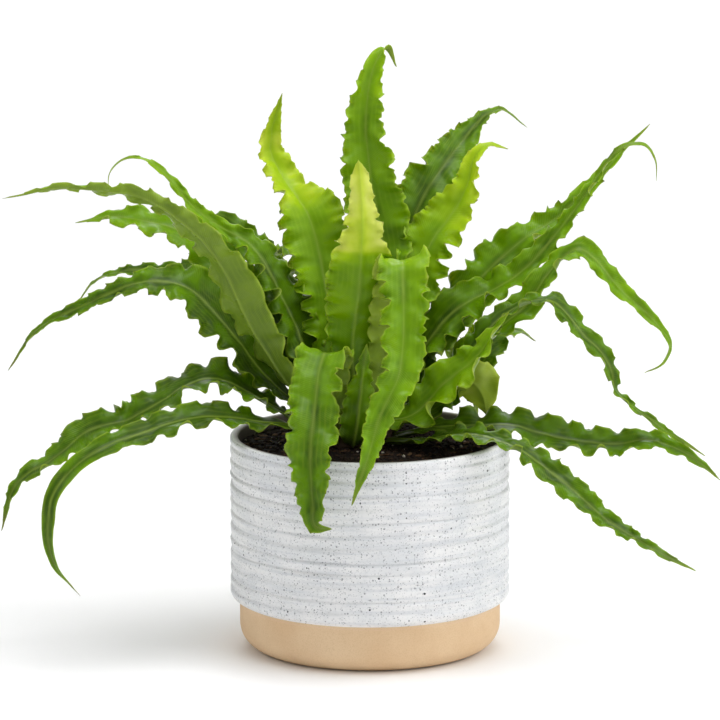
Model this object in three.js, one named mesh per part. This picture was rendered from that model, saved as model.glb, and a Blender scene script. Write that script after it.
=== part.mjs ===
// A bird's-nest fern with ruffled, strap-like fronds, growing in a ribbed ceramic planter.
// Millimetres, +Z up. The origin is the middle of the pot's underside, and -Y is the front.
import * as THREE from "three";

// ---- driving dimensions ----

const clearance = 0.3;

const pot = {
  radius: 82.5,
  height: 127,
  wall: 5,
  floor: 7,
  lip: 1.2,
  innerFillet: 9,
  segments: 64,
};

// The lower band is bare clay, set in under the glazed wall, which rounds in to meet it.
const foot = { inset: 5.6, height: 28.7, fillet: 15, step: 0.8, shoulder: 5.5 };

// Throwing ridges run round the glazed wall: the wall draws in below each crest by the depth.
const ridges = { count: 11, depth: 0.7, aboveShoulder: 1, belowRim: 5, crest: 0.7 };

const soil = { belowRim: 6.5, mound: 2.5, moundRadius: 40, edgeRound: 2 };

// The crown is the short rhizome that every frond grows from.
// The fronds' heights are measured from its datum.
const crown = { x: -10, y: 0, radius: 24, height: 22, datum: 3.7, rings: 7, segments: 36 };

// A blade thins from the keel's full depth at its widest to the thin share of it at the tip.
const blade = {
  stalkHalfWidth: 3,
  stub: 2.5,
  keel: 1.4,
  thinShare: 0.4,
  ridge: 0.2,
  fold: 0.15,
  ringSpacing: 13,
  fewestRings: 9,
  widest: 0.38,
  swellEnd: 0.14,
  taperPower: 1.8,
};

const finishes = {
  glaze: { color: 0xe8e8ea, roughness: 0.3 },
  peat: { color: 0x2b1f17, roughness: 0.95 },
  rhizome: { color: 0x4a3a22, roughness: 0.85 },
  frond: { color: 0x6f9a1e, roughness: 0.45 },
  youngFrond: { color: 0xa9c24a, roughness: 0.45 },
  oldFrond: { color: 0x3f6a12, roughness: 0.45 },
};

// ---- shared sizes ----

const rimHeight = pot.height;
const innerRadius = pot.radius - pot.wall;
const footRadius = pot.radius - foot.inset;
const shoulderLow = foot.height + foot.step;
const shoulderTop = shoulderLow + foot.shoulder;
const soilTop = rimHeight - soil.belowRim + soil.mound;
const crownFoot = soilTop + clearance;
const crownDatum = crownFoot + crown.datum;

const degrees = THREE.MathUtils.degToRad;

// ---- pot ----

function arcPoints(cx, cz, radius, from, to, steps) {
  const points = [];
  for (let i = 0; i <= steps; i++) {
    const angle = degrees(from + ((to - from) * i) / steps);
    points.push(new THREE.Vector2(cx + radius * Math.cos(angle), cz + radius * Math.sin(angle)));
  }
  return points;
}

function ridgePoints() {
  const start = shoulderTop + ridges.aboveShoulder;
  const end = rimHeight - ridges.belowRim;
  const pitch = (end - start) / ridges.count;
  const points = [];
  for (let i = 0; i < ridges.count; i++) {
    const valley = start + i * pitch;
    points.push(new THREE.Vector2(pot.radius - ridges.depth, valley));
    points.push(new THREE.Vector2(pot.radius, valley + ridges.crest * pitch));
  }
  points.push(new THREE.Vector2(pot.radius - ridges.depth, end));
  return points;
}

// The pot's cavity from the middle of its floor up, or a shape that lies inside it by a gap.
// It draws in at the foot, as the outside does, and the wall is thickest at the shoulder.
function cavityPoints(gap) {
  const footInner = footRadius - pot.wall - gap;
  const bottom = pot.floor + gap;
  return [
    new THREE.Vector2(0, bottom),
    ...arcPoints(footInner - pot.innerFillet, bottom + pot.innerFillet, pot.innerFillet, -90, 0, 4),
    new THREE.Vector2(footInner, shoulderLow),
    new THREE.Vector2(innerRadius - gap, shoulderTop + pot.wall),
  ];
}

function makePot() {
  const lipInner = pot.wall / 2 - pot.lip;
  const profile = [
    new THREE.Vector2(0, 0),
    ...arcPoints(footRadius - foot.fillet, foot.fillet, foot.fillet, -90, 0, 5),
    new THREE.Vector2(footRadius, foot.height),
    ...arcPoints(pot.radius - foot.shoulder, shoulderLow + foot.shoulder, foot.shoulder, -90, 0, 4),
    ...ridgePoints(),
    ...arcPoints(pot.radius - pot.lip, rimHeight - pot.lip, pot.lip, 0, 90, 2),
    new THREE.Vector2(pot.radius - pot.wall + lipInner, rimHeight),
    new THREE.Vector2(innerRadius, rimHeight - lipInner),
    ...cavityPoints(0).reverse(),
  ];
  return new THREE.LatheGeometry(profile, pot.segments);
}

// ---- soil and crown ----

function makeSoil() {
  const radius = innerRadius - clearance;
  const edge = rimHeight - soil.belowRim;
  const profile = [
    ...cavityPoints(clearance),
    new THREE.Vector2(radius, edge - soil.edgeRound),
    new THREE.Vector2(radius - soil.edgeRound, edge),
    new THREE.Vector2(soil.moundRadius, soilTop),
    new THREE.Vector2(0, soilTop),
  ];
  return new THREE.LatheGeometry(profile, pot.segments);
}

function makeCrown() {
  const profile = [new THREE.Vector2(0, 0)];
  for (let i = 0; i <= crown.rings; i++) {
    const angle = degrees((90 * i) / crown.rings);
    profile.push(new THREE.Vector2(crown.radius * Math.cos(angle), crown.height * Math.sin(angle)));
  }
  profile[profile.length - 1].x = 0;
  return new THREE.LatheGeometry(profile, crown.segments);
}

// ---- fronds ----

// The point on the domed crown at an angle round it and an angle up it, and the way out of it.
function crownRoot(around, up) {
  const a = degrees(around);
  const e = degrees(up);
  const point = new THREE.Vector3(
    crown.x + crown.radius * Math.cos(e) * Math.cos(a),
    crown.y + crown.radius * Math.cos(e) * Math.sin(a),
    crownFoot + crown.height * Math.sin(e),
  );
  const outward = new THREE.Vector3(
    (Math.cos(e) * Math.cos(a)) / crown.radius,
    (Math.cos(e) * Math.sin(a)) / crown.radius,
    Math.sin(e) / crown.height,
  ).normalize();
  return { point, outward };
}

// How far the pot's outer wall lies from the crown's middle, along a heading.
function wallDistance(heading) {
  const along = crown.x * heading.x + crown.y * heading.y;
  const offset = crown.x * crown.x + crown.y * crown.y;
  return Math.sqrt(pot.radius * pot.radius - offset + along * along) - along;
}

// A frond's route. "via" points are [out from the crown's middle, up from its datum, sideways],
// and "hang" points are [out from the pot's wall, up from its rim, sideways].
function frondRoute({ root, turn, via, hang = [] }) {
  const heading = new THREE.Vector3(Math.cos(degrees(turn)), Math.sin(degrees(turn)), 0);
  const sideways = new THREE.Vector3(-heading.y, heading.x, 0);
  const wall = wallDistance(heading);
  const start = crownRoot(...root);
  const points = [
    start.point.clone().addScaledVector(start.outward, clearance),
    start.point.clone().addScaledVector(start.outward, clearance + blade.stub),
  ];
  const place = (out, height, side = 0) =>
    new THREE.Vector3(crown.x, crown.y, height)
      .addScaledVector(heading, out)
      .addScaledVector(sideways, side);
  for (const [out, up, side] of via) points.push(place(out, crownDatum + up, side));
  for (const [out, up, side] of hang) points.push(place(wall + out, rimHeight + up, side));
  return { curve: new THREE.CatmullRomCurve3(points, false, "centripetal"), sideways };
}

// The blade's half width, as a share of its widest, from the stalk (0) to the tip (1).
// A tail above 0 draws the tip out into a thread.
function bladeShare(t, stalkShare, widest, tail) {
  const swell = THREE.MathUtils.smoothstep(t, 0, widest - blade.swellEnd);
  const taper = Math.max(0, (t - widest) / (1 - widest));
  const narrowing = (1 - Math.pow(taper, blade.taperPower)) * (1 - tail * taper);
  return (stalkShare + (1 - stalkShare) * swell) * narrowing;
}

function rollAt(rolls, t) {
  const place = t * (rolls.length - 1);
  const index = Math.min(Math.floor(place), rolls.length - 2);
  const share = THREE.MathUtils.smoothstep(place - index, 0, 1);
  return degrees(THREE.MathUtils.lerp(rolls[index], rolls[index + 1], share));
}

// A blade is a loft of four-sided rings: left margin, midrib above, right margin, keel below.
// The margins stand a little higher than the midrib, so the blade is a shallow gutter.
function makeFrond(frond) {
  const { curve, sideways } = frondRoute(frond);
  const rings = Math.max(blade.fewestRings, Math.round(curve.getLength() / blade.ringSpacing));
  const halfWidth = frond.width / 2;
  const widest = frond.widest ?? blade.widest;
  const stalkShare = blade.stalkHalfWidth / halfWidth;
  const positions = [];
  for (let i = 0; i < rings; i++) {
    const t = i / rings;
    const centre = curve.getPointAt(t);
    const tangent = curve.getTangentAt(t);
    const across = sideways.clone().addScaledVector(tangent, -sideways.dot(tangent)).normalize();
    across.applyAxisAngle(tangent, rollAt(frond.roll, t));
    const above = new THREE.Vector3().crossVectors(tangent, across);
    const share = bladeShare(t, stalkShare, widest, frond.tail ?? 0);
    const reach = halfWidth * share;
    const depth = blade.keel * THREE.MathUtils.lerp(blade.thinShare, 1, share);
    const corners = [
      [reach, blade.fold * reach],
      [0, blade.ridge],
      [-reach, blade.fold * reach],
      [0, -depth],
    ];
    for (const [side, height] of corners) {
      const corner = centre.clone().addScaledVector(across, side).addScaledVector(above, height);
      positions.push(...corner.toArray());
    }
  }
  positions.push(...curve.getPointAt(1).toArray());
  const tip = rings * 4;
  const faces = [0, 2, 1, 0, 3, 2];
  // Every panel is split from its midrib or keel corner to the next margin corner, so that the
  // upper and lower faces stay alongside each other where the blade twists.
  for (let ring = 0; ring < rings - 1; ring++) {
    for (let k = 0; k < 4; k++) {
      const a = ring * 4 + k;
      const b = ring * 4 + ((k + 1) % 4);
      if (k % 2 === 0) faces.push(a, b, a + 4, b, b + 4, a + 4);
      else faces.push(a, b, b + 4, a, b + 4, a + 4);
    }
  }
  for (let k = 0; k < 4; k++) {
    faces.push(tip - 4 + k, tip - 4 + ((k + 1) % 4), tip);
  }
  const geometry = new THREE.BufferGeometry();
  geometry.setAttribute("position", new THREE.Float32BufferAttribute(positions, 3));
  geometry.setIndex(faces);
  return geometry;
}

// Each frond: its root on the crown [degrees round, degrees up], the heading it turns to,
// its width, and its roll from root to tip, in degrees. A heading of -90 faces the front.
const low = 8;
const middle = 38;
const high = 62;

const leftFronds = [
  {
    root: [208, middle], turn: 198, width: 26, roll: [0, 40, 50, 30],
    via: [
      [40, 34], [61, 66], [85, 113], [104, 132],
      [125, 147], [150, 153], [175, 156], [210, 152],
    ],
  },
  {
    root: [220, high], turn: 170, width: 28, widest: 0.36, tail: 0.85, roll: [0, -40, -50, -20],
    via: [
      [21, 34, 6], [35, 65], [60, 110], [79, 122], [92, 130],
      [102, 141], [114, 154], [131, 162], [144, 155], [146, 140],
    ],
  },
  {
    root: [146, middle], turn: 160, width: 20, roll: [0, -40, -40, -20],
    via: [[32, 30], [57, 69], [77, 92], [101, 112], [148, 121], [176, 116]],
  },
  {
    root: [118, middle], turn: 148, width: 20, tail: 0.4, roll: [0, -40, -40, -20],
    via: [[34, 22], [57, 50], [78, 72], [101, 86], [140, 85], [167, 81], [185, 73], [201, 50]],
  },
  {
    root: [176, middle], turn: 178, width: 28, roll: [0, -40, -50, -30],
    via: [[36, 20], [56, 40], [76, 66], [96, 86], [120, 91], [150, 80], [187, 60], [203, 37]],
  },
  {
    root: [172, low], turn: 190, width: 24, roll: [0, -20, -40, -30],
    via: [[37, 12], [57, 24]],
    hang: [[0, 33], [19, 36], [39, 25], [60, 14], [84, 8], [102, -6], [127, -23], [136, -50]],
  },
  {
    root: [200, low], turn: 204, width: 13, roll: [0, -30, -40, -30],
    via: [[38, 8], [62, 13]],
    hang: [
      [15, 18], [31, 18], [57, 13], [83, 6], [102, -4],
      [115, -18], [119, -36], [117, -57], [100, -81],
    ],
  },
  {
    root: [142, low], turn: 134, width: 16, roll: [0, -30, -30, -20],
    via: [[36, 20], [70, 58], [96, 80], [118, 84], [143, 90]],
  },
];

const centreFronds = [
  {
    root: [132, high], turn: 128, width: 34, widest: 0.42, roll: [0, -20, -20, -20],
    via: [[18, 45], [28, 90], [42, 124], [66, 143], [80, 160], [77, 175], [68, 195]],
  },
  {
    root: [92, high], turn: 70, width: 27, widest: 0.5, tail: 0.3, roll: [0, 10, 10, 0],
    via: [
      [12, 45, -6], [21, 101, -12], [27, 145, -2], [31, 185, 3],
      [35, 212, 0], [40, 225, -5], [45, 213, -11],
    ],
  },
  {
    root: [-98, middle], turn: -88, width: 35, widest: 0.62, roll: [0, 0, 0, 0],
    via: [[22, 24, -1], [26, 62, -1], [30, 87, 2], [33, 117, 4], [34, 147, 4], [33, 169, 2]],
  },
  {
    root: [44, high], turn: 46, width: 28, tail: 0.6, roll: [0, 40, 40, 30],
    via: [[22, 45], [35, 80], [48, 116], [65, 140], [107, 173], [125, 180], [150, 166]],
  },
  {
    root: [2, high], turn: 16, width: 26, widest: 0.5, tail: 0.4, roll: [0, 50, 50, 30],
    via: [[24, 48], [38, 85], [47, 111], [62, 131], [71, 148], [77, 168], [95, 166]],
  },
  {
    root: [-62, low], turn: -80, width: 27, widest: 0.5, roll: [0, 0, 0, 0],
    via: [
      [30, 36, 12], [36, 80, 20], [44, 105, 21], [53, 115, 20],
      [64, 102, 18], [76, 72, 16], [83, 51, 12],
    ],
    hang: [[6, 29, 0], [10, 12, -6], [14, -21, -18]],
  },
  {
    root: [-120, low], turn: -106, width: 30, widest: 0.62, roll: [0, 0, 0, 0],
    via: [[31, 26, -3], [44, 52, -2], [57, 60], [72, 48]],
    hang: [[5, 29, 1], [15, 11, 2], [21, -8, 4], [24, -37, 10], [23, -34, 17]],
  },
  {
    root: [-90, low], turn: -90, width: 17, roll: [0, 0, 0],
    via: [[32, 10, 2], [37, 28, 4], [42, 47, 6], [45, 63, 8]],
  },
];

const rightFronds = [
  {
    root: [32, middle], turn: 18, width: 26, roll: [0, 50, 60, 30],
    via: [[35, 24], [54, 59], [78, 88], [109, 113], [128, 124], [162, 155], [185, 176]],
  },
  {
    root: [-50, high], turn: 6, width: 24, tail: 0.5, roll: [0, 45, 50, 20],
    via: [[28, 34, -7], [58, 71], [98, 94], [128, 128], [160, 169], [176, 168], [179, 148]],
  },
  {
    root: [2, middle], turn: -3, width: 18, tail: 0.3, roll: [0, 30, 50, 60],
    via: [[38, 18, 3], [69, 51], [99, 76], [131, 112], [157, 88], [177, 69], [187, 50], [171, 39]],
  },
  {
    root: [-28, middle], turn: -13, width: 15, roll: [0, 30, 20, 40],
    via: [[40, 22, -1], [62, 42, -2], [88, 73]],
    hang: [[9, 82], [25, 85], [48, 63], [60, 50], [64, 35], [78, 22], [118, -3]],
  },
  {
    root: [-6, low], turn: -12, width: 24, roll: [0, 20, 40, 30],
    via: [[42, 5], [66, 8]],
    hang: [[4, 9], [32, 3], [62, 1], [86, 4], [110, -5], [126, -18]],
  },
  {
    root: [-34, low], turn: -34, width: 17, roll: [0, 10, 35, 30],
    via: [[46, 2], [78, 9]],
    hang: [[6, 9], [28, 3], [56, -11], [84, -29], [112, -41], [145, -52]],
  },
  {
    root: [62, middle], turn: 32, width: 20, roll: [0, 40, 40, 20],
    via: [[38, 8, 5], [65, 20], [83, 36], [98, 48], [111, 52], [129, 43]],
  },
  {
    root: [24, low], turn: 20, width: 25, widest: 0.62, roll: [0, -17, -60, -70],
    via: [[38, 18], [60, 30], [74, 27], [82, 17], [84, 6]],
  },
  {
    root: [-58, middle], turn: -27, width: 26, widest: 0.45, roll: [0, 50, 60, 40],
    via: [[38, 14, -5], [62, 38], [77, 50], [88, 63], [101, 82]],
  },
];

const backFronds = [
  {
    root: [177, high], turn: 150, width: 26, roll: [0, -30, -30],
    via: [[28, 42], [54, 86], [76, 112], [98, 120], [118, 106]],
  },
  {
    root: [88, middle], turn: 112, width: 26, roll: [0, -10, -10],
    via: [[26, 30], [42, 62], [62, 86], [90, 96], [118, 90], [142, 66]],
  },
  {
    root: [82, low], turn: 75, width: 24, roll: [0, 0, 0],
    via: [[36, 36], [54, 70], [84, 92], [122, 94], [158, 78], [180, 48]],
  },
  {
    root: [112, low], turn: 100, width: 24, roll: [0, 0, 0],
    via: [[42, 24], [66, 42]],
    hang: [[20, 48], [60, 42], [92, 18], [110, -16]],
  },
  {
    root: [52, low], turn: 62, width: 22, roll: [0, 0, 0],
    via: [[42, 14], [68, 28]],
    hang: [[12, 34], [44, 26], [66, 4], [76, -20]],
  },
];

// ---- assembly ----

const group = new THREE.Group();

function addPiece(name, geometry, finish) {
  const material = new THREE.MeshStandardMaterial({ ...finish, metalness: 0 });
  const mesh = new THREE.Mesh(geometry, material);
  mesh.name = name;
  group.add(mesh);
  return mesh;
}

// A lathe turns its profile about Y, so a turned piece is stood up along Z.
function addTurned(name, geometry, finish) {
  const mesh = addPiece(name, geometry, finish);
  mesh.rotation.x = Math.PI / 2;
  return mesh;
}

function addFronds(side, fronds, finish) {
  fronds.forEach((frond, index) => {
    addPiece(`frond_${side}_${index + 1}`, makeFrond(frond), finish);
  });
}

addTurned("pot", makePot(), finishes.glaze);
addTurned("soil", makeSoil(), finishes.peat);
addTurned("crown", makeCrown(), finishes.rhizome).position.set(crown.x, crown.y, crownFoot);
addFronds("left", leftFronds, finishes.frond);
addFronds("centre", centreFronds, finishes.youngFrond);
addFronds("right", rightFronds, finishes.frond);
addFronds("back", backFronds, finishes.oldFrond);

export default group;
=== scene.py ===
"""A potted bird's-nest fern: ruffled fronds on a short crown, in a speckled, ribbed pot. Metres."""

import math

import bmesh
import bpy
import numpy as np
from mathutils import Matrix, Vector


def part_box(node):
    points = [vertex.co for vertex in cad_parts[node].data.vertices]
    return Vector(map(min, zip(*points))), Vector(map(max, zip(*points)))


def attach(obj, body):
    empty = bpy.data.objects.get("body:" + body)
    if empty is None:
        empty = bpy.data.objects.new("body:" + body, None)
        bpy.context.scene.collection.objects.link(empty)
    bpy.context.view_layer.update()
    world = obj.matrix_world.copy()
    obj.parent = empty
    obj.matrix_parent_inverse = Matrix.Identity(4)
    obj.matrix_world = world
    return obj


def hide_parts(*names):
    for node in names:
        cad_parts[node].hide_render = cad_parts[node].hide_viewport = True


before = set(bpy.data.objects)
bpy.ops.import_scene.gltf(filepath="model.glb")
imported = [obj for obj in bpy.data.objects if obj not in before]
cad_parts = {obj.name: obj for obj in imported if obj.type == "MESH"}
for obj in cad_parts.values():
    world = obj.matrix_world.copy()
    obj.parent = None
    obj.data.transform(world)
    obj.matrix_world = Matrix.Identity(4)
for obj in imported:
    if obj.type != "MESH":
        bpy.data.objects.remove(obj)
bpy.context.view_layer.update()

MM = 0.001


# ---- small tools ----


def srgb(red, green, blue):
    """A display colour, 0 to 255, as the linear colour that shaders use."""
    shares = [channel / 255 for channel in (red, green, blue)]
    return [s / 12.92 if s <= 0.04045 else ((s + 0.055) / 1.055) ** 2.4 for s in shares] + [1]


def smoothstep(low, high, value):
    """A smooth rise from 0 at the low value to 1 at the high one."""
    share = np.clip((value - low) / (high - low), 0, 1)
    return share * share * (3 - 2 * share)


def wander(rng, distance, wavelength):
    """A slow random curve, from about -1 to 1, along a distance."""
    total = np.zeros_like(distance)
    for share, weight in ((1, 0.55), (0.57, 0.3), (0.31, 0.15)):
        turns = distance / (wavelength * share) + rng.uniform(0, 1)
        total += weight * np.sin(2 * math.pi * turns)
    return total


def hump(distance, width):
    """A smooth hump, 1 in its middle and nearly 0 two widths away."""
    return np.exp(-((distance / width) ** 2))


def spline(knots, values, at):
    """A smooth curve through the values at the knots, read at other places along them."""
    slopes = np.gradient(values, knots, axis=0)
    i = np.clip(np.searchsorted(knots, at, side="right") - 1, 0, len(knots) - 2)
    span = knots[i + 1] - knots[i]
    t = (at - knots[i]) / span
    if values.ndim > 1:
        span, t = span[:, None], t[:, None]
    start = values[i] * (2 * t**3 - 3 * t**2 + 1) + slopes[i] * span * (t**3 - 2 * t**2 + t)
    end = values[i + 1] * (3 * t**2 - 2 * t**3) + slopes[i + 1] * span * (t**3 - t**2)
    return start + end


def unit(vectors):
    """The vectors at a length of one."""
    return vectors / np.maximum(np.linalg.norm(vectors, axis=-1, keepdims=True), 1e-12)


def grid_faces(rows, columns, first=0, closed=False):
    """Quads over a grid of points stored row by row. A closed grid joins its last column to its first."""
    row = np.arange(rows - 1)[:, None]
    column = np.arange(columns if closed else columns - 1)[None, :]
    following = (column + 1) % columns
    quads = [row * columns + column, row * columns + following]
    quads += [(row + 1) * columns + following, (row + 1) * columns + column]
    return first + np.stack(quads, axis=-1).reshape(-1, 4)


def fan_faces(ring, centre, flipped=False):
    """Triangles from each side of a closed ring of points to a centre point."""
    following = np.roll(ring, -1)
    sides = (following, ring) if flipped else (ring, following)
    return np.stack([np.full(len(ring), centre), *sides], axis=1).tolist()


def make_piece(name, points, faces, material, attributes=None, smooth=True):
    """A mesh object from points in metres, with a float attribute for each named array."""
    mesh = bpy.data.meshes.new(name)
    mesh.from_pydata(np.asarray(points).tolist(), [], [list(map(int, face)) for face in faces])
    for key, values in (attributes or {}).items():
        layer = mesh.attributes.new(key, "FLOAT", "POINT")
        layer.data.foreach_set("value", np.asarray(values, np.float32))
    mesh.polygons.foreach_set("use_smooth", np.full(len(mesh.polygons), smooth))
    mesh.materials.append(material)
    mesh.update()
    piece = bpy.data.objects.new(name, mesh)
    bpy.context.scene.collection.objects.link(piece)
    return piece


class Shader:
    """A material's node tree. Inputs are given by name or place, as values or as other outputs."""

    def __init__(self, name):
        self.material = bpy.data.materials.new(name)
        self.material.use_nodes = True
        self.tree = self.material.node_tree
        self.tree.nodes.clear()

    def add(self, kind, inputs=None, out=0, **settings):
        node = self.tree.nodes.new("ShaderNode" + kind)
        for key, value in settings.items():
            setattr(node, key, value)
        for key, value in (inputs or {}).items():
            if isinstance(value, bpy.types.NodeSocket):
                self.tree.links.new(value, node.inputs[key])
            else:
                node.inputs[key].default_value = value
        return node.outputs[out]

    def attribute(self, name):
        return self.add("Attribute", out=2, attribute_name=name)

    def math(self, operation, *values):
        return self.add("Math", dict(enumerate(values)), operation=operation)

    def remap(self, value, low, high, to_low=0.0, to_high=1.0):
        inputs = {0: value, 1: low, 2: high, 3: to_low, 4: to_high}
        return self.add("MapRange", inputs, interpolation_type="SMOOTHSTEP")

    def mix(self, share, first, second):
        """The first colour, with a share of the second."""
        return self.add("Mix", {0: share, 6: first, 7: second}, out=2, data_type="RGBA")

    def tint(self, base, mask, strength, colour):
        """The base colour, tinted where the mask is, up to a strength."""
        return self.mix(self.math("MULTIPLY", mask, strength), base, colour)

    def ramp(self, value, stops):
        node = self.tree.nodes.new("ShaderNodeValToRGB")
        self.tree.links.new(value, node.inputs[0])
        elements = node.color_ramp.elements
        while len(elements) < len(stops):
            elements.new(0.5)
        for element, (place, colour) in zip(elements, stops):
            element.position = place
            element.color = colour
        return node.outputs[0]

    def noise(self, vector, scale, detail=3.0, roughness=0.55):
        inputs = {"Vector": vector, "Scale": scale, "Detail": detail, "Roughness": roughness}
        return self.add("TexNoise", inputs)

    def bump(self, height, distance, strength=1.0, normal=None):
        inputs = {"Height": height, "Distance": distance, "Strength": strength}
        if normal is not None:
            inputs["Normal"] = normal
        return self.add("Bump", inputs)

    def finish(self, **inputs):
        named = {key.replace("_", " "): value for key, value in inputs.items()}
        surface = self.add("BsdfPrincipled", named)
        output = self.tree.nodes.new("ShaderNodeOutputMaterial")
        self.tree.links.new(surface, output.inputs["Surface"])
        return self.material


# ---- frond materials ----

# A frond pales from dark green, when old, to yellow-green, when young.
UPPER_STOPS = [
    (0.0, srgb(214, 224, 104)),
    (0.15, srgb(196, 214, 62)),
    (0.3, srgb(164, 194, 20)),
    (0.45, srgb(142, 178, 6)),
    (0.6, srgb(122, 163, 3)),
    (0.75, srgb(103, 145, 2)),
    (0.9, srgb(78, 115, 2)),
    (1.0, srgb(54, 84, 3)),
]
UNDER_STOPS = [
    (0.0, srgb(212, 222, 120)),
    (0.3, srgb(168, 188, 66)),
    (0.6, srgb(130, 156, 46)),
    (1.0, srgb(88, 114, 34)),
]


# The side veins and the painted pleat highlights, in millimetres apart.
VEIN_SPACING = 1.2
PLEAT_SPACING = 3.1


def frond_material(name):
    """Living leaf: green, mottled partly in its own tone and partly with painted sheen streaks, with side
    veins, painted highlights on shallow pleats, painted shade along the midrib, a pale rib and brown tips.
    """
    shader = Shader(name)
    place = shader.add("TexCoord", out=3)
    age = shader.attribute("age")
    run = shader.attribute("run")
    spread = shader.attribute("spread")
    mottle_and_sheen = shader.noise(place, 60.0)
    # The mottle is partly the leaf's own patchy tone and partly painted sheen: broad lighter and darker
    # streaks.
    patchy_tone_and_sheen = shader.math("MULTIPLY_ADD", shader.math("SUBTRACT", mottle_and_sheen, 0.5), 0.55, age)
    upper = shader.ramp(patchy_tone_and_sheen, UPPER_STOPS)
    under = shader.ramp(patchy_tone_and_sheen, UNDER_STOPS)
    face = shader.mix(shader.attribute("under"), upper, under)

    # Side veins run out and forwards from the midrib, drift a little and fade in places.
    slant = shader.math("MULTIPLY_ADD", spread, -0.55, run)
    drift = shader.math("MULTIPLY_ADD", shader.noise(place, 35.0), 2.4, slant)
    waves = shader.math("SINE", shader.math("MULTIPLY", drift, 2 * math.pi / VEIN_SPACING))
    seen = shader.remap(shader.noise(place, 90.0), 0.4, 0.65)
    veins = shader.math("MULTIPLY", shader.remap(waves, 0.2, 1.0), seen)
    veined = shader.tint(face, veins, 0.09, srgb(196, 214, 110))

    # Painted highlights on shallow pleats: bands along the blade, lighter where light would fall on a
    # pleat, that wander a little.
    pleat_highlight = shader.math("MULTIPLY_ADD", mottle_and_sheen, 5.0, spread)
    pleat_highlight = shader.math("SINE", shader.math("MULTIPLY", pleat_highlight, 2 * math.pi / PLEAT_SPACING))
    pleat_highlight = shader.math("MULTIPLY", shader.remap(pleat_highlight, -0.2, 1.0), shader.remap(mottle_and_sheen, 0.4, 0.6))
    veined = shader.tint(veined, pleat_highlight, 0.07, srgb(190, 214, 70))

    ribbed = shader.tint(veined, shader.attribute("rib"), 0.42, srgb(176, 200, 84))
    edge = shader.tint(ribbed, shader.attribute("edge"), 0.26, srgb(186, 206, 70))
    tips = shader.mix(shader.attribute("tooth"), edge, srgb(58, 60, 16))
    brown = shader.mix(shader.attribute("scorch"), tips, srgb(92, 74, 28))
    base = shader.mix(shader.attribute("stalk"), brown, srgb(60, 76, 14))

    grain = shader.noise(place, 900.0, 2.0)
    gloss = shader.remap(mottle_and_sheen, 0.3, 0.7, 0.25, 0.4)
    fine = shader.bump(grain, 0.05 * MM, 0.4)
    relief = shader.bump(veins, 0.1 * MM, 0.6, fine)
    return shader.finish(
        Base_Color=base,
        Roughness=gloss,
        Normal=relief,
        Subsurface_Weight=0.25,
        Subsurface_Radius=(0.9, 1.0, 0.2),
        Subsurface_Scale=1.6 * MM,
        Specular_IOR_Level=0.17,
    )


# ---- fronds ----

# Corners of a CAD frond that lie closer than this are one corner.
WELD = 0.02 * MM
# The CAD midrib stands this far above the frond's route.
RIDGE = 0.2 * MM
# A blade narrows to this half width at its tip.
TIP_WIDTH = 0.1 * MM
STATION = 1.25 * MM
FEWEST_ROWS = 40
HALF_COLUMNS = 12
# How far out each column lies, from the midrib (0) to the margin (1). They are closest at the rib.
OUTWARD = (np.arange(HALF_COLUMNS + 1) / HALF_COLUMNS) ** 1.5
# A margin is crimped this many times in each period of its wave.
CRIMPS = 2.6
# A tooth has shrunk to about a third where the wave is this far from zero.
TOOTH_WIDTH = 0.2


def walk_rings(tip):
    """The corners at each step away from the tip."""
    seen = {tip}
    edge = [tip]
    rings = []
    while edge:
        edge = [e.other_vert(v) for v in edge for e in v.link_edges]
        edge = [v for v in dict.fromkeys(edge) if v not in seen]
        seen.update(edge)
        if edge:
            rings.append([np.array(v.co) for v in edge])
    return rings


def ring_shape(corners, ahead):
    """A ring's middle, its direction across, its direction up and its half width.

    The margins are the two corners furthest apart. Of the other two, the keel lies further from
    the line between the margins."""
    pairs = [(i, j) for i in range(4) for j in range(i + 1, 4)]
    a, b = max(pairs, key=lambda pair: np.linalg.norm(corners[pair[0]] - corners[pair[1]]))
    line = unit(corners[a] - corners[b])
    others = [corners[k] for k in range(4) if k not in (a, b)]
    off = [np.linalg.norm(np.cross(corner - corners[a], line)) for corner in others]
    rib, keel = others if off[0] < off[1] else others[::-1]
    above = unit(rib - keel)
    across = line if np.dot(np.cross(line, above), ahead) > 0 else -line
    return rib - above * RIDGE, across, above, np.linalg.norm(corners[a] - corners[b]) / 2


def read_frond(node):
    """The middle, across, up and half width of a CAD frond's rings, from its base to its tip."""
    solid = bmesh.new()
    solid.from_mesh(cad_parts[node].data)
    bmesh.ops.remove_doubles(solid, verts=solid.verts, dist=WELD)
    for tip in solid.verts:
        rings = walk_rings(tip)
        if all(len(ring) == 4 for ring in rings):
            break
    end = np.array(tip.co)
    rings.reverse()
    solid.free()
    middles = [np.mean(ring, axis=0) for ring in rings] + [end]
    shapes = [ring_shape(ring, middles[i + 1] - middles[i]) for i, ring in enumerate(rings)]
    shapes.append((end, shapes[-1][1], shapes[-1][2], TIP_WIDTH))
    return [np.array(column) for column in zip(*shapes)]


def frond_route(node):
    """A frond's fine stations: how far along, middle, tangent, across, up and half width."""
    middle, across, _, reach = read_frond(node)
    knots = np.concatenate([[0], np.cumsum(np.linalg.norm(np.diff(middle, axis=0), axis=1))])
    along = np.linspace(0, knots[-1], max(FEWEST_ROWS, round(knots[-1] / STATION)))
    centre = spline(knots, middle, along)
    tangent = unit(np.gradient(centre, along, axis=0))
    sideways = spline(knots, across, along)
    sideways = unit(sideways - tangent * np.sum(sideways * tangent, axis=1, keepdims=True))
    upward = np.cross(tangent, sideways)
    half = np.maximum(np.interp(along, knots, reach), TIP_WIDTH)
    return along, centre, tangent, sideways, upward, half


def read_stops(share, stops):
    """What changes along a blade, from its stops: (share of the length, value)."""
    places, values = zip(*stops)
    return np.interp(share, places, values)


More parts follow.
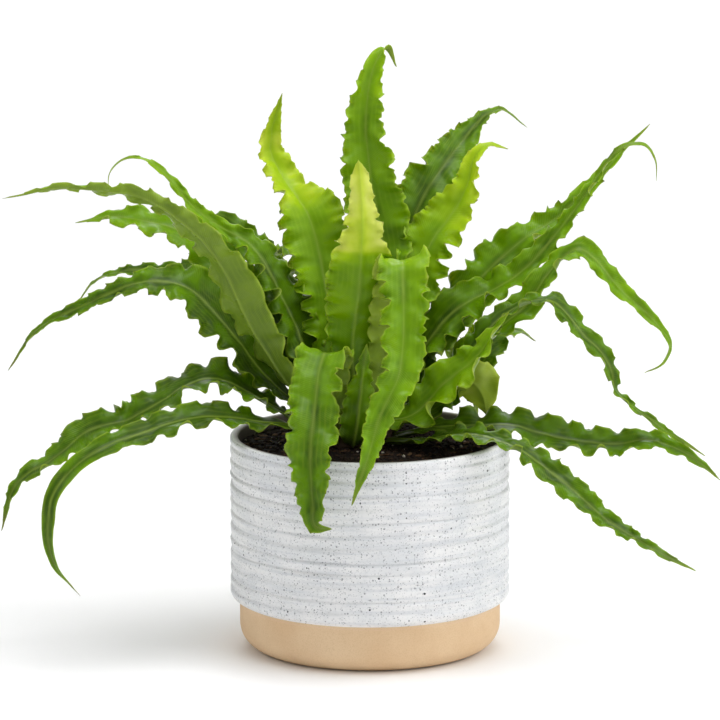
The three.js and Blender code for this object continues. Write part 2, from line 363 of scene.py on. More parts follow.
def margin_wave(rng, along, look):
    """How the margin waves up (1) and down (-1) of the blade, how strongly, and where its teeth are.

    A tooth points out where the margin crosses from one side of the blade to the other."""
    period = look["period"] * MM * (1 + 0.3 * wander(rng, along, 47 * MM))
    phase = np.cumsum(np.gradient(along) / period) + rng.uniform(0, 1)
    wave = np.sin(2 * math.pi * phase)
    lobe = np.floor(2 * phase + 0.5).astype(int)
    lobe -= lobe.min()
    keen = rng.uniform(0.3, 1.3, lobe.max() + 2)[lobe]
    tooth = np.exp(-np.abs(wave) / TOOTH_WIDTH) * keen
    wave = np.tanh(look["sharp"] * wave) / math.tanh(look["sharp"])
    crimp = np.sin(2 * math.pi * CRIMPS * phase + 1.5 * wander(rng, along, 29 * MM))
    deep = rng.uniform(0.4, 1.2, lobe.max() + 2)
    deep = np.where(rng.random(len(deep)) < look["curly"], rng.uniform(1.6, 2.4, len(deep)), deep)
    size = np.interp(2 * phase - (2 * phase)[0], np.arange(len(deep)), deep)
    size = size * (1 + 0.35 * wander(rng, along, 70 * MM))
    return wave, size, tooth, crimp


def half_blade(rng, along, half, look):
    """One side of a blade: distance out, height and lean of each point, and its teeth and width."""
    wave, size, tooth, crimp = margin_wave(rng, along, look)
    share = along / along[-1]
    grow = smoothstep(0.04, 0.2, share) * read_stops(share, look["ruffles"])
    swing = math.radians(look["ruffle"]) * grow * size * wave
    out = OUTWARD
    tooth = tooth * grow
    width = half * look["wide"] * (1 + 0.07 * wander(rng, along, 31 * MM))
    width = width * read_stops(share, look["widths"])
    reach = width + look["tooth"] * MM * tooth * np.minimum(1, half / (7 * MM))

    # The blade folds up from its midrib, and its outer part swings with the wave.
    bend = np.clip((out - look["flat"]) / (1 - look["flat"]), 0, 1) ** look["bend"]
    fold = math.radians(look["fold"]) + math.radians(9) * wander(rng, along, 80 * MM)
    angle = (fold * smoothstep(0, 0.3, share))[:, None] + swing[:, None] * bend
    angle += math.radians(look["crimp"]) * (grow * crimp)[:, None] * out**4
    angle = (angle[:, 1:] + angle[:, :-1]) / 2

    # Teeth stretch only the outer columns.
    stretch = width[:, None] + (reach - width)[:, None] * smoothstep(0.55, 1, out[1:])[None, :] * 2
    step = stretch * np.diff(out)
    nothing = np.zeros((len(along), 1))
    distance = np.concatenate([nothing, np.cumsum(step * np.cos(angle), axis=1)], axis=1)
    height = np.concatenate([nothing, np.cumsum(step * np.sin(angle), axis=1)], axis=1)
    quilt = wander(rng, along, 26 * MM) * grow * np.minimum(1, half / (10 * MM))
    height = height + look["quilt"] * MM * quilt[:, None] * np.sin(math.pi * np.clip(out, 0, 1)) ** 2
    lean = look["lean"] * MM * (tooth[:, None] - 0.3) * out**3
    return distance, height, lean, tooth, width


# period is the wave's length in millimetres. ruffle, fold, twist and crimp are angles in degrees.
# sharp, flat and bend shape the wave. curly is the share of lobes that are deepest.
# wide and widths multiply the CAD width, and ruffles the wave, at shares of the length.
# tooth, lean and quilt are lengths in millimetres. flip shows the underside above.
DEFAULT_LOOK = {
    "period": 14.0,
    "ruffle": 66.0,
    "sharp": 1.0,
    "flat": 0.3,
    "bend": 1.35,
    "fold": 14.0,
    "wide": 1.12,
    "widths": [(0, 1.3), (0.3, 1.15), (0.5, 1), (1, 1)],
    "ruffles": [(0, 0.8), (0.3, 0.9), (0.5, 1), (0.85, 1.1), (1, 0.8)],
    "curly": 0.08,
    "twist": 13.0,
    "flip": False,
    "crimp": 17.0,
    "tooth": 1.9,
    "lean": 1.4,
    "quilt": 1.5,
    "age": [(0, 0.8), (0.3, 0.68), (0.8, 0.6), (1, 0.55)],
    "scorch": 0.25,
    "material": "frond_green",
}


def make_frond(node, look, seed):
    """A thin ruffled blade along a CAD frond's route."""
    look = {**DEFAULT_LOOK, **look}
    rng = np.random.default_rng(seed)
    along, centre, tangent, sideways, upward, half = frond_route(node)
    share = along / along[-1]
    roll = math.radians(look["twist"]) * wander(rng, along, 85 * MM) * smoothstep(0.1, 0.4, share)
    cos, sin = np.cos(roll)[:, None], np.sin(roll)[:, None]
    sideways, upward = sideways * cos + upward * sin, upward * cos - sideways * sin
    left = half_blade(rng, along, half, look)
    right = half_blade(rng, along, half, look)

    def joined(index, sign):
        return np.concatenate([sign * right[index][:, :0:-1], left[index]], axis=1)

    distance = joined(0, -1)
    height = joined(1, 1)
    lean = joined(2, 1)
    across = np.concatenate([-OUTWARD[:0:-1], OUTWARD])
    out = np.abs(across)[None, :]
    tooth, width = (
        np.where(across < 0, right[index][:, None], left[index][:, None]) for index in (3, 4)
    )
    bob = 0.5 * MM * wander(rng, along, 45 * MM) * smoothstep(0.05, 0.3, share)
    surface = (
        centre[:, None]
        + sideways[:, None] * distance[..., None]
        + upward[:, None] * (height + bob[:, None])[..., None]
        + tangent[:, None] * lean[..., None]
    )
    down_run = np.gradient(surface, axis=0)
    over = np.gradient(surface, axis=1)
    normal = unit(np.cross(down_run, over))

    from_rib = out * width
    rib = hump(from_rib, 0.75 * MM)
    stout = 1 - 0.75 * smoothstep(0.0, 0.9, share)
    thickness = MM * (0.5 - 0.26 * out**2)
    thickness = np.minimum(thickness, 0.5 * width + 0.1 * MM)
    stalk = 1 - smoothstep(0.02, 0.16, share)
    swell = stalk[:, None] * 1.1 * MM * (1 - out)
    groove = 0.22 * MM * hump(from_rib - 2.0 * MM, 0.7 * MM) * stout[:, None]
    keel = 1.1 * MM * hump(from_rib, 0.95 * MM) * stout[:, None]
    keel = np.minimum(keel, 0.6 * width)
    raise_rib = np.minimum(0.3 * MM * rib * stout[:, None], 0.3 * width)
    upper = surface + normal * (thickness / 2 + raise_rib - groove + swell)[..., None]
    lower = surface - normal * (thickness / 2 + keel + groove * 0.6 + swell)[..., None]

    rows, columns = distance.shape
    count = rows * columns
    points = np.concatenate([upper.reshape(-1, 3), lower.reshape(-1, 3)])
    top = grid_faces(rows, columns)[:, ::-1]
    bottom = grid_faces(rows, columns, count)
    ring = np.concatenate(
        [
            np.arange(columns),
            columns * np.arange(1, rows) + columns - 1,
            columns * (rows - 1) + np.arange(columns - 2, -1, -1),
            columns * np.arange(rows - 2, 0, -1),
        ]
    )
    ahead = np.roll(ring, -1)
    side = np.stack([ahead + count, ring + count, ring, ahead], axis=1)
    faces = np.concatenate([top, bottom, side])

    def both(values):
        """The values for the upper skin and again for the lower one."""
        flat = np.broadcast_to(values, (rows, columns)).reshape(-1)
        return np.concatenate([flat, flat])

    margin = width * (1 - out)
    age = read_stops(share, look["age"])[:, None] - 0.05 * smoothstep(0, 1, out)
    # Painted shade: the blade is painted darker along its midrib, where the crease of the fold lies in
    # shade.
    age = age + 0.1 * hump(from_rib, 2.6 * MM)
    above = np.full(count, float(look["flip"]))
    attributes = {
        "run": both(along[:, None] / MM),
        "spread": both(from_rib / MM),
        "rib": both(rib * (0.35 + 0.65 * stout[:, None])),
        "edge": both(hump(margin, 0.55 * MM)),
        "tooth": both(hump(margin, 0.9 * MM) * np.clip(tooth * 1.3 - 0.3, 0, 1) ** 2 * 0.8),
        "age": both(age),
        "scorch": both(look["scorch"] * smoothstep(0.93, 1, share)[:, None]),
        "stalk": both(0.7 * stalk[:, None]),
        "under": np.concatenate([above, 1 - above]),
    }
    piece = make_piece(node + "_blade", points, faces, materials[look["material"]], attributes)
    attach(piece, "root")
    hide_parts(node)


# How old the leaf is along a blade: 1 is the darkest green and 0 the palest yellow-green.
OLD = [(0, 1), (0.3, 0.97), (0.8, 0.89), (1, 0.84)]
MID = [(0, 1), (0.3, 0.84), (0.8, 0.74), (1, 0.72)]

LOOKS = {
    "frond_left_1": {
        "period": 19,
        "age": MID,
        "fold": 18,
        "widths": [(0, 1), (0.42, 1.05), (0.55, 0.7), (0.64, 0.55), (0.9, 0.85), (1, 0.6)],
        "ruffles": [(0, 0.5), (0.45, 0.6), (0.6, 1.4), (1, 1.3)],
    },
    "frond_left_2": {
        "period": 16,
        "age": [(0, 1), (0.4, 0.9), (0.6, 0.68), (1, 0.62)],
        "ruffle": 80,
        "curly": 0.2,
        "widths": [(0, 1.1), (0.42, 0.95), (0.58, 0.5), (0.8, 0.8), (1, 0.6)],
    },
    "frond_left_3": {
        "period": 20,
        "age": MID,
        "widths": [(0, 1), (0.5, 1.2), (0.7, 1.8), (0.85, 2.0), (1, 0.8)],
        "ruffle": 60,
    },
    "frond_left_4": {
        "period": 15,
        "age": OLD,
        "ruffle": 78,
        "curly": 0.15,
        "widths": [(0, 1.1), (0.45, 1), (0.6, 0.8), (1, 0.8)],
    },
    "frond_left_5": {
        "period": 15,
        "age": OLD,
        "scorch": 0.6,
        "ruffle": 50,
        "widths": [(0, 1.1), (0.44, 1.15), (0.52, 0.85), (0.6, 0.5), (0.75, 0.48), (1, 0.6)],
        "ruffles": [(0, 0.7), (0.45, 0.8), (0.55, 1.4), (1, 1.2)],
    },
    "frond_left_6": {"period": 16, "age": OLD, "scorch": 0.6, "ruffle": 70, "curly": 0.12, "crimp": 24},
    "frond_left_7": {
        "period": 19,
        "age": OLD,
        "scorch": 0.8,
        "ruffle": 70,
        "widths": [(0, 1.8), (0.2, 1.7), (0.5, 1.2), (0.62, 1.0), (0.9, 1.25), (0.96, 0.7), (1, 0.3)],
        "ruffles": [(0, 0.7), (0.2, 0.9), (0.45, 1), (0.6, 0.12), (1, 0.06)],
        "twist": 8,
    },
    "frond_left_8": {"period": 15, "age": OLD, "ruffle": 70},
    "frond_centre_1": {
        "period": 13,
        "age": [(0, 0.9), (0.4, 0.68), (0.55, 0.58), (0.62, 0.34), (1, 0.18)],
        "widths": [(0, 1.1), (0.5, 1.1), (0.57, 1.25), (0.63, 0.85), (1, 0.85)],
        "ruffle": 55,
        "fold": 20,
    },
    "frond_centre_2": {
        "period": 14,
        "age": [(0, 0.9), (0.4, 0.78), (0.8, 0.66), (1, 0.56)],
        "widths": [(0, 1), (0.3, 1.1), (0.5, 1.25), (1, 1.4)],
        "ruffle": 48,
        "tooth": 2.6,
        "fold": 20,
    },
    "frond_centre_3": {
        "period": 12,
        "age": [(0, 0.95), (0.3, 0.75), (0.6, 0.62), (0.645, 0.5), (0.665, 0.14), (0.85, 0.03), (1, 0.02)],
        "widths": [(0, 1), (0.62, 1), (0.7, 0.8), (0.82, 0.66), (0.9, 0.8), (0.97, 1.3), (1, 1)],
        "ruffle": 45,
        "flip": True,
        "twist": 6,
    },
    "frond_centre_4": {
        "period": 14,
        "age": [(0, 1), (0.3, 0.94), (0.8, 0.86), (1, 0.85)],
        "widths": [(0, 1.2), (0.3, 1.45), (0.75, 1.5), (0.85, 0.9), (1, 0.8)],
        "ruffle": 50,
        "fold": 24,
        "tooth": 2.4,
    },
    "frond_centre_5": {
        "period": 13,
        "age": [(0, 0.9), (0.4, 0.72), (0.6, 0.62), (0.65, 0.4), (1, 0.25)],
        "widths": [(0, 1), (0.45, 1.1), (0.65, 1.45), (0.85, 1.2), (1, 1)],
        "ruffle": 60,
        "fold": 20,
        "tooth": 2.4,
    },
    "frond_centre_6": {
        "period": 14,
        "age": [(0, 0.9), (0.3, 0.55), (0.42, 0.5), (0.5, 0.7), (1, 0.78)],
        "ruffle": 55,
        "curly": 0.18,
    },
    "frond_centre_7": {
        "period": 15,
        "age": [(0, 0.9), (0.4, 0.74), (0.6, 0.84), (0.9, 0.92), (1, 0.8)],
        "ruffle": 44,
        "curly": 0.15,
        "wide": 1.05,
    },
    "frond_centre_8": {"period": 11, "age": MID, "ruffle": 70, "curly": 0.3, "flip": True},
    "frond_right_1": {
        "period": 19,
        "age": MID,
        "ruffle": 75,
        "widths": [(0, 1), (0.3, 1), (0.5, 1.1), (0.64, 0.75), (0.8, 0.55), (1, 0.65)],
        "ruffles": [(0, 1), (0.5, 1.1), (0.7, 1.4), (1, 1)],
        "twist": 28,
    },
    "frond_right_2": {
        "period": 18,
        "age": MID,
        "ruffle": 74,
        "curly": 0.15,
        "widths": [(0, 1.1), (0.4, 1), (0.6, 0.65), (1, 0.6)],
        "ruffles": [(0, 1), (0.5, 1.1), (0.7, 1.4), (1, 1)],
        "twist": 24,
    },
    "frond_right_3": {"period": 20, "age": MID, "ruffle": 66, "twist": 24},
    "frond_right_4": {"period": 15, "age": OLD, "ruffle": 78, "curly": 0.18, "twist": 26},
    "frond_right_5": {"period": 17, "age": OLD, "twist": 18, "curly": 0.15, "ruffle": 72},
    "frond_right_6": {"period": 15, "age": OLD, "ruffle": 70, "curly": 0.15},
    "frond_right_7": {
        "period": 15,
        "age": OLD,
        "widths": [(0, 1.1), (0.5, 1.2), (0.8, 2.0), (1, 1.2)],
        "scorch": 0.6,
    },
    "frond_right_8": {
        "period": 15,
        "age": [(0, 0.8), (0.3, 0.5), (1, 0.4)],
        "ruffle": 30,
        "wide": 1.5,
        "fold": 4,
    },
    "frond_right_9": {"period": 20, "age": [(0, 0.9), (0.3, 0.7), (1, 0.6)], "ruffle": 75, "curly": 0.15},
}


def make_fronds():
    """Every frond, with its own look and its own seed."""
    nodes = sorted(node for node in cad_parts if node.startswith("frond_"))
    for seed, node in enumerate(nodes, start=11):
        look = dict(LOOKS.get(node, {"age": OLD}))
        if "centre" in node:
            look = {"material": "frond_young", "crimp": 30, **look}
        elif "back" in node:
            look["material"] = "frond_dark"
        make_frond(node, look, seed)


# ---- pot ----

_, POT_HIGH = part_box("pot")
POT_RADIUS = POT_HIGH.x
RIM = POT_HIGH.z
SOIL_LOW, SOIL_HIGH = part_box("soil")
INNER_RADIUS = SOIL_HIGH.x + 0.3 * MM

pot_shape = {
    "foot_inset": 5.6 * MM,
    "foot_height": 28.7 * MM,
    "foot_fillet": 15 * MM,
    "shoulder": 5.5 * MM,
    "ridge_start": 36 * MM,
    "ridge_pitch": 7.82 * MM,
    "ridge_count": 11,
    "ridge_depth": 1.3 * MM,
    "lip": 1.3 * MM,
    "wall": 5 * MM,
    "floor": 7 * MM,
    "floor_fillet": 9 * MM,
    "foot_step": 0.8 * MM,
    "wall_row": 0.55 * MM,
    "columns": 288,
}


def arc(cx, cz, radius, start, end, steps):
    """Points along part of a circle, from a start to an end angle in degrees."""
    angles = np.radians(np.linspace(start, end, steps + 1))
    return np.stack([cx + radius * np.cos(angles), cz + radius * np.sin(angles)], axis=1)


def pot_profile():
    """The pot's section as [radius, height] points, up the outside and down the inside."""
    p = pot_shape
    foot = POT_RADIUS - p["foot_inset"]
    shoulder_low = p["foot_height"] + p["foot_step"]
    wall_low = shoulder_low + p["shoulder"]
    lip_low = RIM - p["lip"]
    wall_rows = round((lip_low - wall_low) / p["wall_row"])
    wall = np.linspace(wall_low, lip_low, wall_rows)[1:-1]
    foot_inner = foot - p["wall"]
    curve = p["floor_fillet"]
    inner = np.linspace(RIM - p["lip"], wall_low + p["wall"], 20)[1:]
    return np.concatenate(
        [
            np.stack([np.linspace(0, foot - p["foot_fillet"], 8), np.zeros(8)], axis=1)[:-1],
            arc(foot - p["foot_fillet"], p["foot_fillet"], p["foot_fillet"], -90, 0, 16),
            np.stack([np.full(6, foot), np.linspace(p["foot_fillet"] + MM, p["foot_height"], 6)], axis=1),
            [[foot + 0.05 * MM, p["foot_height"] + 0.3 * MM]],
            arc(POT_RADIUS - p["shoulder"], wall_low, p["shoulder"], -88, 0, 14),
            np.stack([np.full(len(wall), POT_RADIUS), wall], axis=1),
            arc(POT_RADIUS - p["lip"], lip_low, p["lip"], 0, 90, 6),
            arc(INNER_RADIUS + p["lip"], lip_low, p["lip"], 90, 180, 6),
            np.stack([np.full(len(inner), INNER_RADIUS), inner], axis=1),
            [[foot_inner, shoulder_low]],
            arc(foot_inner - curve, p["floor"] + curve, curve, 0, -90, 8),
            np.stack([np.linspace(foot_inner - curve, 0, 8), np.full(8, p["floor"])], axis=1)[1:],
        ]
    )


def ridge_relief(height, angle):
    """How far the thrown wall draws in at a height and an angle, in metres."""
    p = pot_shape
    sway = 0.7 * MM * np.sin(angle + 0.6) + 0.35 * MM * np.sin(3 * angle + height / (11 * MM))
    place = (height - p["ridge_start"] + sway) / p["ridge_pitch"]
    index = np.floor(place)
    part = place - index
    rise = np.clip(part / 0.72, 0, 1) * (1 - smoothstep(0.72, 1, part))
    size = 0.75 + 0.35 * np.sin(2.4 * index + 1.1) + 0.2 * np.sin(2 * angle + 1.7 * index)
    count = p["ridge_count"]
    within = smoothstep(-0.3, 0.3, place) * (1 - smoothstep(count - 0.1, count + 0.3, place))

    # Fine lines from the wheel, in two sizes, that come and go round the wall.
    fine = np.sin(height / (0.36 * MM) + 2 * np.sin(angle))
    wheel = 0.1 * MM * fine * np.sin(height / (2.9 * MM) + 3 * np.sin(2 * angle))
    broad = np.sin(height / (0.83 * MM) + np.sin(3 * angle + height / (7 * MM)))
    wheel += 0.14 * MM * broad * np.sin(5 * angle + height / (4 * MM))
    return within * (p["ridge_depth"] * size * (1 - rise) + wheel)


def make_pot():
    """The pot turned from its profile, with its ridges and its two finishes."""
    p = pot_shape
    profile = pot_profile()
    angle = np.linspace(0, 2 * math.pi, p["columns"], endpoint=False)
    radius = np.repeat(profile[:, :1], len(angle), axis=1)
    height = np.repeat(profile[:, 1:], len(angle), axis=1)
    outside = radius > POT_RADIUS - 0.001 * MM
    radius = radius - np.where(outside, ridge_relief(height, angle[None, :]), 0)
    ring = np.stack([radius * np.cos(angle), radius * np.sin(angle), height], axis=-1)
    inner = ring[1:-1]
    rows = len(inner)
    points = np.concatenate([inner.reshape(-1, 3), [[0, 0, profile[0, 1]]], [[0, 0, profile[-1, 1]]]])
    faces = grid_faces(rows, len(angle), closed=True).tolist()
    around = np.arange(len(angle))
    cap = rows * len(angle)
    faces += fan_faces(around, cap, flipped=True)
    faces += fan_faces(cap - len(angle) + around, cap + 1)
    is_outside = (np.arange(1, len(profile) - 1) < np.argmax(profile[:, 1]) + 1).astype(float)
    glazed = smoothstep(p["foot_height"] - 0.05 * MM, p["foot_height"] + 0.3 * MM, inner[..., 2])
    glazed = np.where(is_outside[:, None] > 0, glazed, 1)
    inside = np.repeat(1 - is_outside[:, None], len(angle), axis=1)
    attributes = {
        "glazed": np.concatenate([glazed.reshape(-1), [0, 1]]),
        "inside": np.concatenate([inside.reshape(-1), [0, 1]]),
    }
    piece = make_piece("planter", points, faces, materials["glazed_pot"], attributes)
    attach(piece, "root")
    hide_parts("pot")


def pot_material():
    """A speckled off-white glaze above bare sandy clay, and a taupe inside."""
    shader = Shader("glazed_pot")
    place = shader.add("TexCoord", out=3)

    def specks(scale, share, low, high):
        """Round specks in a share of the cells, from a low to a high size."""
        cells = shader.tree.nodes.new("ShaderNodeTexVoronoi")
        shader.tree.links.new(place, cells.inputs["Vector"])
        cells.inputs["Scale"].default_value = scale
        chance = shader.add("SeparateColor", {0: cells.outputs["Color"]})
        size = shader.remap(chance, 1 - share, 1.0, low, high)
        kept = shader.math("GREATER_THAN", chance, 1 - share)
        spot = shader.math("LESS_THAN", cells.outputs["Distance"], size)
        return shader.math("MULTIPLY", spot, kept)

    cloud = shader.noise(place, 45.0, 4.0)
    grey = shader.mix(shader.remap(cloud, 0.35, 0.7), srgb(238, 238, 238), srgb(225, 227, 229))
    stretched = shader.add("Mapping", {"Vector": place, "Scale": (14.0, 14.0, 330.0)})
    streak = shader.remap(shader.noise(stretched, 1.0, 4.0), 0.45, 0.7, 0.0, 0.55)
    grey = shader.mix(streak, grey, srgb(202, 206, 212))
    fleck = shader.noise(place, 700.0, 2.0)
    dusty = shader.mix(shader.remap(fleck, 0.52, 0.75, 0.0, 0.35), grey, srgb(176, 180, 186))
    dust = shader.tint(dusty, specks(1050.0, 0.42, 0.14, 0.42), 0.42, srgb(92, 96, 106))
    fine = shader.tint(dust, specks(620.0, 0.36, 0.12, 0.36), 0.6, srgb(70, 72, 80))
    bold = shader.mix(specks(190.0, 0.2, 0.05, 0.14), fine, srgb(40, 42, 48))
    taupe = shader.mix(shader.attribute("inside"), bold, srgb(112, 102, 94))

    grain = shader.noise(place, 1400.0, 3.0)
    blotch = shader.noise(place, 30.0, 3.0)
    sand = shader.mix(shader.remap(blotch, 0.3, 0.7), srgb(233, 204, 166), srgb(223, 190, 150))
    clay = shader.mix(shader.remap(grain, 0.4, 0.75, 0.0, 0.3), sand, srgb(196, 160, 118))

    glazed = shader.attribute("glazed")
    colour = shader.mix(glazed, clay, taupe)
    sheen = shader.remap(cloud, 0.3, 0.7, 0.42, 0.55)
    rough = shader.add("Mix", {0: glazed, 2: 0.85, 3: sheen})
    pits = shader.bump(grain, 0.06 * MM, 0.5)
    uneven = shader.bump(shader.noise(place, 160.0, 3.0), 0.25 * MM, 0.5, pits)
    return shader.finish(Base_Color=colour, Roughness=rough, Normal=uneven, Specular_IOR_Level=0.45)


# ---- soil ----

MOUND = 2.5 * MM
# The heights between which the soil draws in at the pot's foot.
WAIST_HIGH = 41 * MM
WAIST_LOW = 30 * MM


def soil_height(x, y):
    """The peat's height: a low mound, rough at the size of its crumbs."""
    r = np.hypot(x, y)
    edge = SOIL_HIGH.z - MOUND
    mound = MOUND * (1 - smoothstep(30 * MM, 76 * MM, r))
    rough = np.sin(x / (2.3 * MM) + 1.3 * np.sin(y / (3.1 * MM)))
    rough = rough * np.sin(y / (1.9 * MM) + 2 * np.sin(x / (4.7 * MM)))
    broad = np.sin(x / (9 * MM) + 0.7) * np.sin(y / (7 * MM) + 1.9)
    return edge + mound + 0.45 * MM * rough + 0.5 * MM * broad - 0.6 * MM


def crumb(rng, place, size, kind):
    """One irregular grain: an icosahedron's points, pushed in and out at random."""
    stretch = {"peat": (1, 1, 0.7), "bark": (2.2, 0.9, 0.35), "perlite": (1, 1, 0.9)}[kind]
    ball = ICO_POINTS * (1 + rng.uniform(-0.28, 0.28, (len(ICO_POINTS), 1))) * stretch * size
    turn = rng.uniform(0, 2 * math.pi)
    tilt = rng.uniform(-0.5, 0.5)
    cos, sin = math.cos(turn), math.sin(turn)
    spin = np.array([[cos, -sin, 0], [sin, cos, 0], [0, 0, 1]])
    tip = np.array([[1, 0, 0], [0, math.cos(tilt), -math.sin(tilt)], [0, math.sin(tilt), math.cos(tilt)]])
    return ball @ tip.T @ spin.T + place


def ico_ball():
    """The points and faces of an icosahedron."""
    ball = bmesh.new()
    bmesh.ops.create_icosphere(ball, subdivisions=1, radius=1)
    points = np.array([v.co[:] for v in ball.verts])
    faces = np.array([[v.index for v in f.verts] for f in ball.faces])
    ball.free()
    return points, faces


ICO_POINTS, ICO_FACES = ico_ball()


def make_soil():
    """The soil's body, with grains of peat, bark and perlite on top."""
    rng = np.random.default_rng(5)
    rings, columns = 60, 160
    edge_radius = SOIL_HIGH.x
    radii = edge_radius * (np.arange(1, rings + 1) / rings)
    angle = np.linspace(0, 2 * math.pi, columns, endpoint=False)
    x = radii[:, None] * np.cos(angle)
    y = radii[:, None] * np.sin(angle)
    top = np.stack([x, y, soil_height(x, y)], axis=-1)
    floor = SOIL_LOW.z
    lower = []
    foot_radius = edge_radius - pot_shape["foot_inset"]
    curve = pot_shape["floor_fillet"]
    for radius, height in [
        (edge_radius, WAIST_HIGH),
        (foot_radius, WAIST_LOW),
        (foot_radius, floor + curve),
        (foot_radius - curve, floor),
    ]:
        ring = [radius * np.cos(angle), radius * np.sin(angle), np.full(columns, height)]
        lower.append(np.stack(ring, axis=-1))
    body = np.concatenate([top, np.array(lower)])
    rows = len(body)
    points = [body.reshape(-1, 3), [[0, 0, float(soil_height(0.0, 0.0))]], [[0, 0, floor]]]
    faces = grid_faces(rows, columns, closed=True)[:, ::-1].tolist()
    around = np.arange(columns)
    cap = rows * columns
    faces += fan_faces(around, cap)
    faces += fan_faces(cap - columns + around, cap + 1, flipped=True)
    kinds = [np.zeros(cap + 2)]
    first = cap + 2
    for kind, count, low, high, tone in [
        ("peat", 2600, 0.4, 1.5, 0.25),
        ("bark", 220, 0.8, 2.0, 0.6),
        ("perlite", 46, 0.6, 1.2, 1.0),
    ]:
        for _ in range(count):
            radius = edge_radius * 0.985 * math.sqrt(rng.uniform(0, 1))
            turn = rng.uniform(0, 2 * math.pi)
            px, py = radius * math.cos(turn), radius * math.sin(turn)
            size = MM * rng.uniform(low, high)
            place = [px, py, float(soil_height(px, py)) + 0.25 * size]
            points.append(crumb(rng, place, size, kind))
            faces += (ICO_FACES + first).tolist()
            first += len(ICO_POINTS)
            kinds.append(np.full(len(ICO_POINTS), tone + rng.uniform(-0.12, 0.12)))
    grain = {"grain": np.concatenate(kinds)}
    material = materials["potting_soil"]
    piece = make_piece("soil_bed", np.concatenate(points), faces, material, grain, smooth=False)
    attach(piece, "root")
    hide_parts("soil")


def soil_material():
    """Dark peat, brown bark and pale perlite, by the grain."""
    shader = Shader("potting_soil")
    place = shader.add("TexCoord", out=3)
    grain = shader.attribute("grain")
    tone = shader.ramp(
        grain,
        [
            (0.0, srgb(26, 18, 13)),
            (0.3, srgb(44, 31, 22)),
            (0.6, srgb(88, 62, 40)),
            (0.8, srgb(120, 96, 70)),
            (0.92, srgb(200, 192, 178)),
        ],
    )
    speck = shader.noise(place, 900.0, 4.0)
    colour = shader.mix(shader.remap(speck, 0.45, 0.75, 0.0, 0.6), tone, srgb(18, 13, 10))
    relief = shader.bump(shader.noise(place, 1500.0, 3.0), 0.3 * MM, 0.8)
    return shader.finish(Base_Color=colour, Roughness=0.92, Normal=relief, Specular_IOR_Level=0.25)


# ---- crown ----


def make_crown():
    """The rhizome's dome, with narrow papery scales that point up between the stalks."""
    rng = np.random.default_rng(8)
    low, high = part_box("crown")
    middle = (low + high) / 2
    radius = (high.x - low.x) / 2
    tall = high.z - low.z
    rows, columns = 26, 72
    rise = np.linspace(0, math.pi / 2, rows, endpoint=False)[:, None]
    angle = np.linspace(0, 2 * math.pi, columns, endpoint=False)[None, :]
    lumps = 1 - 0.05 * (1 + np.sin(9 * angle + 5 * np.sin(3 * rise)) * np.sin(7 * rise + angle))
    x = middle.x + radius * np.cos(rise) * np.cos(angle) * lumps
    y = middle.y + radius * np.cos(rise) * np.sin(angle) * lumps
    z = low.z + tall * np.sin(rise) * (0.96 + 0.04 * lumps)
    dome = np.stack([x, y, z], axis=-1).reshape(-1, 3)
    points = [dome, [[middle.x, middle.y, high.z]], [[middle.x, middle.y, low.z]]]
    faces = grid_faces(rows, columns, closed=True).tolist()
    around = np.arange(columns)
    cap = rows * columns
    faces += fan_faces(cap - columns + around, cap)
    faces += fan_faces(around, cap + 1, flipped=True)
    tones = [np.full(cap + 2, 0.25)]
    first = cap + 2
    for _ in range(420):
        turn = rng.uniform(0, 2 * math.pi)
        tilt = rng.uniform(0.05, 1.35)
        flat = math.cos(tilt)
        way = np.array([flat * math.cos(turn), flat * math.sin(turn), math.sin(tilt)])
        root = np.array([middle.x, middle.y, low.z]) + way * [radius, radius, tall] * 0.96
        lift = unit(way * [1, 1, 0.3] + np.array([0, 0, 1.1]) + rng.normal(0, 0.15, 3))
        side = unit(np.cross(lift, way)) * MM * rng.uniform(0.35, 0.8)
        length = MM * rng.uniform(3.5, 8)
        back = way * 0.12 * MM
        strip = []
        for part, wide in ((0, 0.7), (0.35, 1), (0.7, 0.6), (1, 0.05)):
            spot = root + lift * length * part + way * (0.6 * MM * part**2)
            left, right = spot - side * wide, spot + side * wide
            strip += [left + back, right + back, right - back, left - back]
        points.append(np.array(strip))
        faces += grid_faces(4, 4, first, closed=True).tolist()
        faces += [[first + 3, first + 2, first + 1, first]]
        faces += [[first + 12, first + 13, first + 14, first + 15]]
        first += 16
        tones.append(np.full(16, rng.uniform(0.3, 0.9)))
    piece = make_piece(
        "rhizome", np.concatenate(points), faces, materials["crown"], {"tone": np.concatenate(tones)}
    )
    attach(piece, "root")
    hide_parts("crown")


def crown_material():
    """Brown scales, in tones that differ from one to the next."""
    shader = Shader("crown")
    place = shader.add("TexCoord", out=3)
    tone = shader.ramp(
        shader.attribute("tone"),
        [(0.0, srgb(30, 22, 13)), (0.5, srgb(70, 50, 28)), (1.0, srgb(112, 84, 50))],
    )
    fibre = shader.noise(place, 800.0, 4.0)
    colour = shader.mix(shader.remap(fibre, 0.4, 0.7, 0.0, 0.5), tone, srgb(28, 20, 12))
    relief = shader.bump(fibre, 0.2 * MM, 0.7)
    return shader.finish(Base_Color=colour, Roughness=0.8, Normal=relief, Specular_IOR_Level=0.3)


# ---- floor, light and camera ----


def floor_material():
    """A nearly white studio floor."""
    shader = Shader("studio_floor")
    place = shader.add("TexCoord", out=3)
    tone = shader.mix(shader.noise(place, 3.0), srgb(250, 250, 250), srgb(248, 248, 249))
    return shader.finish(Base_Color=tone, Roughness=0.7, Specular_IOR_Level=0.1)


def make_floor():
    """A wide floor that the pot stands on."""
    rows = np.linspace(-9, 9, 9)
    points = [[x, y, 0] for y in rows for x in rows]
    floor = make_piece("floor", points, grid_faces(9, 9), floor_material())


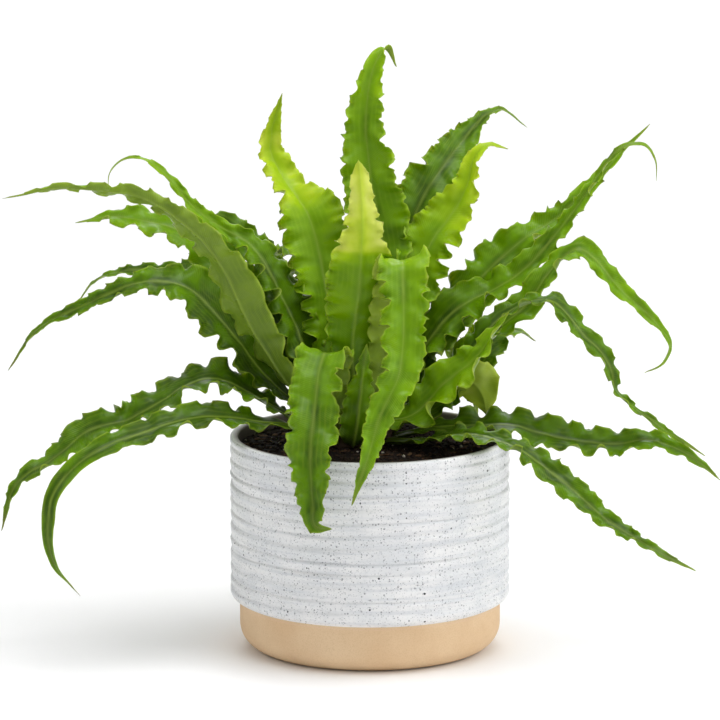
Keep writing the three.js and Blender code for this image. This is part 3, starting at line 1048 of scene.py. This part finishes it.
def add_light(name, place, target, size, power):
    """A round white lamp that points at a target."""
    lamp = bpy.data.lights.new(name, "AREA")
    lamp.shape = "DISK"
    lamp.size = size
    lamp.energy = power
    holder = bpy.data.objects.new(name, lamp)
    holder.location = place
    holder.rotation_euler = (Vector(target) - Vector(place)).to_track_quat("-Z", "Y").to_euler()
    bpy.context.scene.collection.objects.link(holder)


def make_studio():
    """White surroundings, a key light, a top light and four lights over the floor."""
    scene = bpy.context.scene
    scene.view_settings.view_transform = "Standard"
    world = bpy.data.worlds.new("studio")
    world.use_nodes = True
    world.node_tree.nodes["Background"].inputs["Color"].default_value = (1, 1, 1, 1)
    world.node_tree.nodes["Background"].inputs["Strength"].default_value = 0.42
    scene.world = world
    middle = (0, 0, 0.15)
    add_light("key", (2.0, -0.6, 1.5), middle, 2.8, 25)
    add_light("top", (0.1, -0.2, 2.1), middle, 1.3, 22)
    for turn, power in ((0, 34), (90, 62), (180, 26), (270, 12)):
        x, y = math.cos(math.radians(turn)), math.sin(math.radians(turn))
        add_light(f"floor_{turn}", (3.8 * x, 3.8 * y, 2.6), (3.6 * x, 3.6 * y, 0), 3.0, power)


def make_camera():
    """A long lens that looks down on the plant a little."""
    elevation = math.radians(11.1)
    distance = 3.5
    target = Vector((-5.9 * MM, 0, 171.7 * MM))
    lens = bpy.data.cameras.new("camera")
    lens.lens = 298
    lens.sensor_width = 36
    lens.dof.use_dof = False
    lens.clip_end = 60
    camera = bpy.data.objects.new("camera", lens)
    camera.location = target + Vector((0, -math.cos(elevation), math.sin(elevation))) * distance
    camera.rotation_euler = (target - camera.location).to_track_quat("-Z", "Y").to_euler()
    bpy.context.scene.collection.objects.link(camera)
    bpy.context.scene.camera = camera


# ---- making ----

make_camera()
make_studio()
make_floor()
materials = {
    "glazed_pot": pot_material(),
    "potting_soil": soil_material(),
    "crown": crown_material(),
    "frond_green": frond_material("frond_green"),
    "frond_young": frond_material("frond_young"),
    "frond_dark": frond_material("frond_dark"),
}
make_pot()
make_soil()
make_crown()
make_fronds()
